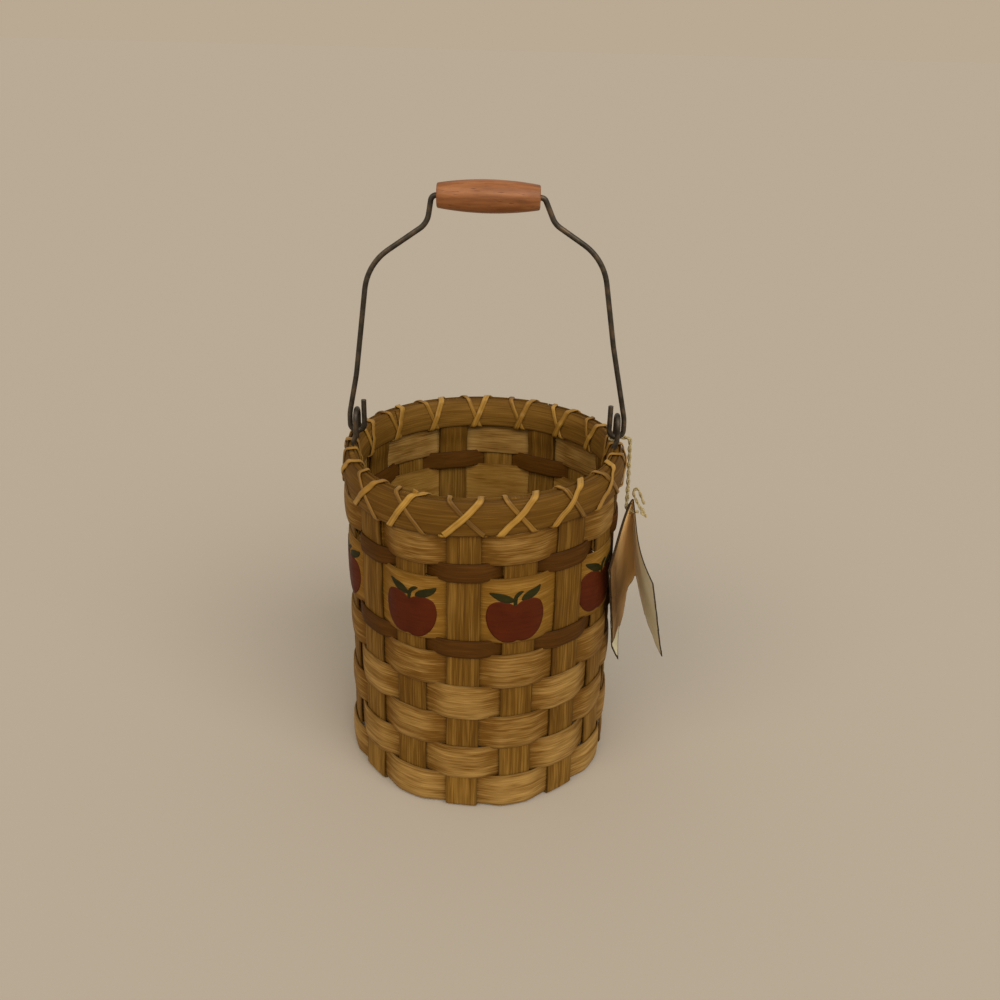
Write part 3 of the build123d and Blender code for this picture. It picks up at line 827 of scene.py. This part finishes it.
def lashing_route(direction, over, seed):
    """A strand's way round the rim, one turn at each stake."""
    rng = seeded(seed)
    loop = rim_loop()
    radius, height, facing, place = np.tile(loop, (stake_count, 1)).T
    number = np.arange(stake_count)
    drifts = [hand_drifts[direction].get(turn, (0, 0)) + (0, 0) for turn in number]
    swings = number[:, None] * stake_step + rng.normal(0, 0.25, (stake_count, 4)) * [1, 1, 1, 0.6]
    swings += direction * np.array(drifts) + [-cross_bottom, cross_top, inside_top, inside_bottom]
    swings = [*swings.ravel(), stake_count * stake_step - cross_bottom]
    swing = np.interp(np.repeat(number, len(loop)) * 4 + place, np.arange(len(swings)), swings)
    soft = np.convolve(np.pad(swing, 4, mode="reflect", reflect_type="odd"), np.ones(9) / 9, mode="valid")
    angles = front_stake + direction * soft
    normal = np.radians(facing)
    lift = strand_thickness * lift_share(place) if over else np.zeros(len(place))
    radius = radius + np.cos(normal) * lift
    low, high = rim_edges(angles)
    height = mix(low, high, (height - rim_low) / (rim_top - rim_low)) + np.sin(normal) * lift
    wide = 1 + waver(soft, rng, 0.03)
    return polar(radius, angles, height), polar(np.cos(normal), angles, np.sin(normal)), 1, wide


def loose_end_route():
    """A strand's end, standing up behind the lashing."""
    angle = stake_angle(-1) + 1.2
    climb = np.linspace(0, 1, 12)
    radius = mix(outer_radius - 3.2 * mm, outer_radius - 2.6 * mm, climb)
    points = polar(radius, angle + 1.6 * climb, rim_edges(angle)[1] + mix(-3 * mm, 2 * mm, climb))
    return points, polar(1, np.full(12, angle)), 1, 1


def make_lashing():
    for name, width, route, tone in (
            ("rising", rising_width, lashing_route(1, True, 21), 0.62),
            ("falling", falling_width, lashing_route(-1, False, 22), 0.2),
            ("end", rising_width, loose_end_route(), 0.6)):
        piece = reed(f"cane_{name}", route, cane, width=width, thickness=strand_thickness, crown=0.1 * mm,
                     edge_round=0.55, section_points=16, fibre_depth=0.02 * mm, fibre_pitch=0.6 * mm,
                     tone=tone)
        dress(piece, "basket", "cane", *[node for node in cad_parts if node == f"lashing_{name}"])


# Painted apples, in millimetres from an apple's middle
apple_half = [(0, 7.1), (2.6, 8.5), (6.2, 9), (9.4, 7.2), (10.8, 3), (10.5, -1.4), (8.8, -5.4),
              (5.6, -8.4), (2.2, -9.1), (0, -8.6)]
left_leaf = [(0, 9), (-0.8, 10.2), (-3.2, 11.9), (-6.4, 12.6), (-9, 12.6), (-7.6, 10.9), (-4.9, 9.1),
             (-2, 8.4)]
right_leaf = [(2.4, 8.9), (3.4, 11), (5.8, 12.4), (8, 13), (10, 13.4), (9.4, 11.3), (7.2, 9.5),
              (4.6, 8.7)]
stem = [(-0.5, 7), (-0.6, 9.4), (0.2, 11.4), (1.9, 12.6), (3.3, 12.4), (2.4, 11.4), (1.1, 10.6), (0.6, 9.2),
        (0.5, 7)]
paint_depth = 0.16 * mm
apple_rise = 9.4 * mm  # from its row's lower edge to its middle
apple_scale = 1.03
apple_nudges = {15: (0, -0.3), 1: (-1.7, -0.1), 3: (-4, 1.2)}  # degrees round and mm up, by stake


def closed_curve(points, steps=7):
    p0, p1, p2, p3 = (np.roll(points, shift, axis=0)[:, None] for shift in (1, 0, -1, -2))
    t = np.arange(steps)[:, None] / steps
    line = (2 * p1 + (p2 - p0) * t + (2 * p0 - 5 * p1 + 4 * p2 - p3) * t ** 2
            + (3 * p1 - p0 - 3 * p2 + p3) * t ** 3) / 2
    return line.reshape(-1, 2)


def paint_patch(outline, rings):
    """Points and faces that fill an outline, and the count of points on its edge."""
    middle = outline.mean(axis=0)
    count = len(outline)
    points = [middle]
    for ring in range(1, rings + 1):
        points += list(middle + (outline - middle) * ring / rings)
    faces = [(0, 1 + i, 1 + (i + 1) % count) for i in range(count)]
    faces += [tuple(1 + i for i in reversed(face)) for face in quads(rings, count, closed=True)]
    return np.array(points), faces, count


def lay_paint(surface, patches, angle, level, tilt):
    """Lays films of paint on the row's outer face."""
    cosine, sine = cos(radians(tilt)), sin(radians(tilt))
    films = []
    for flat, faces, rim in patches:
        outer, inner = [], []
        for x, y in flat * apple_scale * mm:
            bearing = angle + degrees((x * cosine - y * sine) / wall_radius)
            start = Vector(polar(1.5 * wall_radius, bearing, level + x * sine + y * cosine))
            spot, normal, _, _ = surface.ray_cast(start, -Vector(polar(1, bearing)))
            outer.append(spot + normal * paint_depth)
            inner.append(spot - normal * paint_depth)
        count = len(flat)
        films.append((outer + inner, slab(faces, list(range(count - rim, count)), count)))
    return gather(films)


def make_apples(row_piece):
    mesh = row_piece.data
    surface = BVHTree.FromPolygons([v.co for v in mesh.vertices], [p.vertices for p in mesh.polygons])
    mirrored = [(-x, y) for x, y in reversed(apple_half[1:-1])]
    fruit = [paint_patch(closed_curve(apple_half + mirrored)[::-1], 18)]
    greens = [paint_patch(closed_curve(shape)[::-1], 6) for shape in (left_leaf, stem, right_leaf)]
    rng = seeded(31)
    spots = []
    for index in range(1 - apple_row % 2, stake_count, 2):
        along, up = apple_nudges.get(index, (0, 0))
        angle = stake_angle(index) + along
        level = laid(angle, row_spans[apple_row][0]) + apple_rise + up * mm
        spots.append((angle, level, rng.uniform(-5, 5)))
    for name, patches, finish in (("painted_apples", fruit, apple_paint),
                                  ("painted_apple_leaves", greens, leaf_paint)):
        films = gather([lay_paint(surface, patches, *spot) for spot in spots])
        dress(solid(name, *films, finish), "basket", "painted_reed")


# Wire and grip keep the frame's own shapes
def make_wire():
    for name, finish in (("ear_left", wire), ("ear_right", wire), ("bail", wire), ("grip", grip_wood)):
        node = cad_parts[name]
        node.data.materials.clear()
        node.data.materials.append(finish)


# Hang tags
fold_way = Vector((sin(radians(fold_lean_out)), sin(radians(fold_lean_back)), -1)).normalized()
leaf_front = fold_way.cross(Vector((1, 0, 0))).normalized()
leaf_out = leaf_front.cross(fold_way)
inner_hem = [0, -1, 1, 3, 10.5]  # mm below the card's length, from the fold outwards
outer_hem = [0, 0]
kraft_hem = [0, -1.2, -3.4, 2.2, 4.8, 5.4, 4, 2, -0.5]
# Width of the painted highlight beside the fold.
tanned_run = 2.4 * mm  # beside the fold, on the inner leaf's front
burnt_run = 0.9 * mm
leaf_bow = 1.2 * mm
corner_curl = 3 * mm
pinch = 2 * mm
leaf_flare = 1.5 * mm
punch_reach = 6 * mm


def leaf_spot(angle, run, drop, level):
    """Points of a leaf, by distance from its fold, below its top and off its plane."""
    way = leaf_front * cos(radians(angle)) + leaf_out * sin(radians(angle))
    parts = zip((run, drop, level), (way, fold_way, way.cross(fold_way)))
    return tag_corner + sum(np.multiply.outer(part, axis) for part, axis in parts)


def inner_bend(across, down):
    """How far the inner leaf and the kraft tag bow towards the basket."""
    return -leaf_bow * (np.sin(pi * np.sqrt(across)) + across * down ** 2)


def corner_bend(across, down):
    """The inner leaf's lower corner curls out below the kraft tag."""
    return inner_bend(across, down) + corner_curl * across ** 4 * np.maximum(0, (down - 0.84) / 0.16) ** 1.5


def outer_bend(across, down):
    """The outer leaf is pinched at its top and flares out below."""
    hollow = pinch * np.sin(pi * across ** 1.3) * (1 - 0.3 * down)
    return across * mix(-pinch, leaf_flare, down) - hollow


def punched(mesh, angle):
    """Cuts the twine's hole through a leaf."""
    count = 28
    turns = np.arange(count) / count * 2 * pi
    run, drop = tag_hole.x + hole_radius * np.cos(turns), tag_hole.y + hole_radius * np.sin(turns)
    points = np.vstack([leaf_spot(angle, run, drop, level) for level in (-punch_reach, punch_reach)])
    faces = [tuple(reversed(range(count))), tuple(range(count, 2 * count))] + quads(2, count, closed=True)
    cutter = solid("punch", points, faces, mesh.materials[0], False)
    sheet = link_piece(mesh.name + "_whole", mesh)
    cut = sheet.modifiers.new("hole", "BOOLEAN")
    cut.object = cutter
    cut.solver = "EXACT"
    result = settled(sheet)
    bpy.data.objects.remove(cutter)
    return result


def torn_leaf(name, angle, width, bend, hem, finish, seed, start=0, level=0, tanned=0):
    """A bent leaf with torn outer edges and a punched hole."""
    rng = seeded(seed)
    columns, rows = 45, 53

    def torn_wave(count, size):
        wave = np.cumsum(rng.normal(0, size, count)) * mm
        return wave - np.linspace(wave[0], wave[-1], count)

    shares = np.linspace(0, 1, columns) ** 1.5
    down = np.linspace(0, 1, rows)[:, None]
    run = (width + torn_wave(rows, 0.16)[:, None]) * shares
    low_wave = torn_wave(columns, 0.3) + np.interp(shares, np.linspace(0, 1, len(hem)), hem) * mm
    drop = (card_length + low_wave) * down
    rise = level + bend(np.minimum((start + run) / (start + width), 1), down)
    layers = [leaf_spot(angle, start + run, drop, rise + side * paper_thickness / 2) for side in (1, -1)]
    grid = np.arange(rows * columns).reshape(rows, columns)
    border = np.hstack([grid[0], grid[1:, -1], grid[-1, -2::-1], grid[-2:0:-1, 0]]).tolist()
    mesh = new_mesh(name, np.reshape(layers, (-1, 3)), slab(quads(rows, columns), border, grid.size), finish)
    to_edge = np.minimum(np.minimum(1 - shares, 1 - down), down) * card_length
    store(mesh, torn=np.tile(np.exp(-to_edge / burnt_run).ravel(), 2), run=np.tile(run.ravel(), 2),
          tanned=np.vstack([run < tanned, 0 * run]).ravel())
    return punched(mesh, angle)


def join_meshes(name, meshes):
    parts = [([v.co.copy() for v in mesh.vertices], [p.vertices for p in mesh.polygons]) for mesh in meshes]
    joined = new_mesh(name, *gather(parts), meshes[0].materials[0])
    store(joined, **{key: [spot.value for mesh in meshes for spot in mesh.attributes[key].data]
                     for key in ("torn", "run", "tanned")})
    return joined


def make_tags():
    inner = torn_leaf("card_inner", inner_angle, inner_width, corner_bend, inner_hem, white_paper,
                      51, tanned=tanned_run)
    outer = torn_leaf("card_outer", outer_angle, card_width, outer_bend, outer_hem, white_paper, 52)
    card = join_meshes("folded_card", [inner, outer])
    leaf = torn_leaf("kraft_hang_tag", inner_angle, kraft_width, inner_bend, kraft_hem, kraft, 53,
                     start=kraft_inset, level=paper_thickness + paper_gap)
    dress(link_piece("folded_card", card), "tags", "white_paper", "white_card")
    dress(link_piece("kraft_hang_tag", leaf), "tags", "kraft_paper", "kraft_tag")


# Twine
twine_width = 1.4 * mm
wire_radius = 1.05 * mm
ear_low, ear_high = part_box("ear_right")
ear_x = ear_low.x + wire_radius
leg_x = (ear_low.x + ear_high.x) / 2
leg_y = 4 * mm
twine_level = rim_top + twine_width / 2 + 0.3 * mm
hang_x = outer_radius + 2.9 * mm
swing_point = Vector((hang_x + 0.1 * mm, leg_y + 0.3 * mm, twine_level - 3 * mm))
inner_hole = Vector(leaf_spot(inner_angle, *tag_hole, 0))
outer_hole = Vector(leaf_spot(outer_angle, *tag_hole, 0))
hole_way = (outer_hole - inner_hole).normalized()
knot_start = outer_hole + hole_way * 1.2 * mm
twine_route = [
    *(Vector((x, leg_y + y * mm, twine_level)) for x, y in (
        (ear_x - 0.1 * mm, 1.95), (ear_x + 1.7 * mm, 2.1), (ear_x + 4.2 * mm, 1.2), (hang_x, 0.4))),
    *(swing_point + Vector(spot) * mm for spot in (
        (0, 0, 0), (0.2, -0.2, -6), (0.3, -1.3, -13), (0.2, -3.4, -19.5), (-0.1, -5.8, -23.9))),
    inner_hole - hole_way * 1.9 * mm + Vector((0, 0, 0.6)) * mm,
    knot_start,
]
hitch_turns = 1.5  # round the ear's rear leg, below the bail
hitch_drop = 0.7 * mm
hitch_pitch = 0.6 * mm
knot_size = 0.42 * mm
tails = [  # mm from the knot's middle
    [(0, 0, 0), (-3.5, 0.8, 5.5), (-4.9, 0.6, 9.6), (-2.6, 0.2, 10.8), (-1.2, 0, 7), (0.4, -0.3, 3.8)],
    [(0, 0, 0), (1, 0.8, -0.8), (1.8, 1, -2.8)],
]


def smooth_line(route):
    """Even points along a smooth line that the route's points control."""
    route = np.array(route)
    joints = (route[1:-2] + route[2:-1]) / 2
    ends = zip([route[0], *joints], route[1:-1], [*joints, route[-1]])
    t = np.linspace(0, 1, 25)[:, None]
    line = np.vstack([(1 - t) ** 2 * a + 2 * t * (1 - t) * b + t ** 2 * c for a, b, c in ends])
    along = run_length(line)
    places = np.linspace(0, along[-1], max(2, round(along[-1] / (0.3 * mm)) + 1))
    return np.stack([np.interp(places, along, line[:, axis]) for axis in range(3)], axis=1)


def line_frame(line):
    """Two directions square to the line, with no twist along it."""
    ways = np.gradient(line, axis=0)
    ways /= np.linalg.norm(ways, axis=1)[:, None]
    side = np.cross(ways[0], [0, 0, 1] if abs(ways[0][2]) < 0.9 else [1, 0, 0])
    sides = []
    for way in ways:
        side = side - way * (side @ way)
        side = side / np.linalg.norm(side)
        sides.append(side)
    sides = np.array(sides)
    return sides, np.cross(ways, sides)


def tube(line, radius, sides=8):
    first, second = line_frame(line)
    turns = np.arange(sides) / sides * 2 * pi
    points = [spot + radius * (a * cos(t) + b * sin(t))
              for spot, a, b in zip(line, first, second) for t in turns]
    last = len(points) - sides
    ends = [tuple(reversed(range(sides))), tuple(range(last, last + sides))]
    return points, quads(len(line), sides, closed=True) + ends


def twisted(line, strand=0.46 * mm, offset=0.42 * mm):
    """Two strands laid round each other."""
    lay = 7 * mm
    first, second = line_frame(line)
    parts = []
    for phase in (0, pi):
        turn = (run_length(line) / lay * 2 * pi + phase)[:, None]
        parts.append(tube(line + offset * (first * np.cos(turn) + second * np.sin(turn)), strand))
    return gather(parts)


def make_twine():
    line = smooth_line(twine_route)
    string = solid("twine", *twisted(line), twine)
    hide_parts("string_hitch", "tag_string")
    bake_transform(string)

    turns = np.linspace(0, hitch_turns * 2 * pi, 70)
    around = wire_radius + twine_width / 2
    wrap = np.stack([leg_x + around * np.cos(turns), leg_y + around * np.sin(turns),
                     twine_level - hitch_drop + turns / (2 * pi) * hitch_pitch], axis=1)
    wraps = twisted(wrap, strand=0.38 * mm, offset=0.34 * mm)
    hitch = dress(solid("twine_hitch", *wraps, twine), "basket", "twine")

    # The knot outside the card and its two tails
    t = np.linspace(0, 2 * pi, 120)
    loop = np.stack([np.sin(t) + 2 * np.sin(2 * t), np.cos(t) - 2 * np.cos(2 * t), -np.sin(3 * t)], axis=1)
    middle = knot_start + hole_way * 1.7 * mm
    axes = np.array([fold_way, hole_way.cross(fold_way), hole_way])
    parts = [tube(np.array(middle) + knot_size * loop @ axes, 0.5 * mm)]
    for tail in tails:
        tail_line = smooth_line([middle + Vector(spot) * mm for spot in tail])
        parts.append(twisted(tail_line, strand=0.34 * mm, offset=0.3 * mm))
    knot = dress(solid("twine_knot", *gather(parts), twine), "tags", "twine", "string_knot")


# Stage, light and camera
floor_colour = srgb(177, 166, 150)
far_colour = srgb(186, 169, 147)  # the floor as it shows in this light
room_colour = [0.5, 0.49, 0.47, 1]
floor_size = 40
floor_level = -0.06 * mm  # just clear of the reeds' grooves
camera_place = Vector((7.167, -385.05, 292.757)) * mm
camera_pitch = 0.430  # radians below the horizon
camera_roll = 0.026
camera_lens = 36


def make_stage():
    corners = [(-1, -1), (1, -1), (1, 1), (-1, 1)]
    points = [(x * floor_size, y * floor_size, floor_level) for x, y in corners]
    finish = Finish("pale_floor").coat(floor_colour, 0.9, 0)
    solid("floor", points, [(0, 1, 2, 3)], finish, False)

    # The camera sees the floor's colour beyond its edge; all else sees a soft white room
    world = bpy.data.worlds.new("studio")
    bpy.context.scene.world = world
    world.use_nodes = True
    w = Wiring(world.node_tree)
    seen = w.get("ShaderNodeLightPath", output="Is Camera Ray")
    colour = w.blended(seen, room_colour, far_colour)
    w.add("ShaderNodeOutputWorld", Surface=w.get("ShaderNodeBackground", Color=colour, Strength=1))


def soft_light(name, way, strength, spread, colour):
    """A wide, distant light, for soft shadows and an even floor."""
    data = bpy.data.lights.new(name, "SUN")
    data.energy = strength
    data.angle = radians(spread)
    data.color = colour
    link_piece(name, data).rotation_euler = Vector(way).to_track_quat("-Z", "Y").to_euler()


def make_camera():
    data = bpy.data.cameras.new("camera")
    data.lens = camera_lens
    data.clip_start = 0.01
    camera = link_piece("camera", data)
    camera.location = camera_place
    level = Quaternion((1, 0, 0), pi / 2 - camera_pitch)
    camera.rotation_euler = (level @ Quaternion((0, 0, 1), camera_roll)).to_euler()
    bpy.context.scene.camera = camera


make_camera()
make_twine()
make_stakes()
weavers = make_weavers()
make_rim()
make_lashing()
make_apples(weavers[apple_row])
make_wire()
make_tags()
make_stage()
soft_light("key", (-0.55, 0.75, -0.85), 1.6, 45, (1, 0.97, 0.93))
soft_light("fill", (0.6, 0.7, -0.85), 0.78, 35, (1, 0.87, 0.70))
soft_light("front", (0, 0.85, -0.5), 0.6, 40, (1, 0.95, 0.88))
bpy.context.scene.view_settings.view_transform = "Standard"
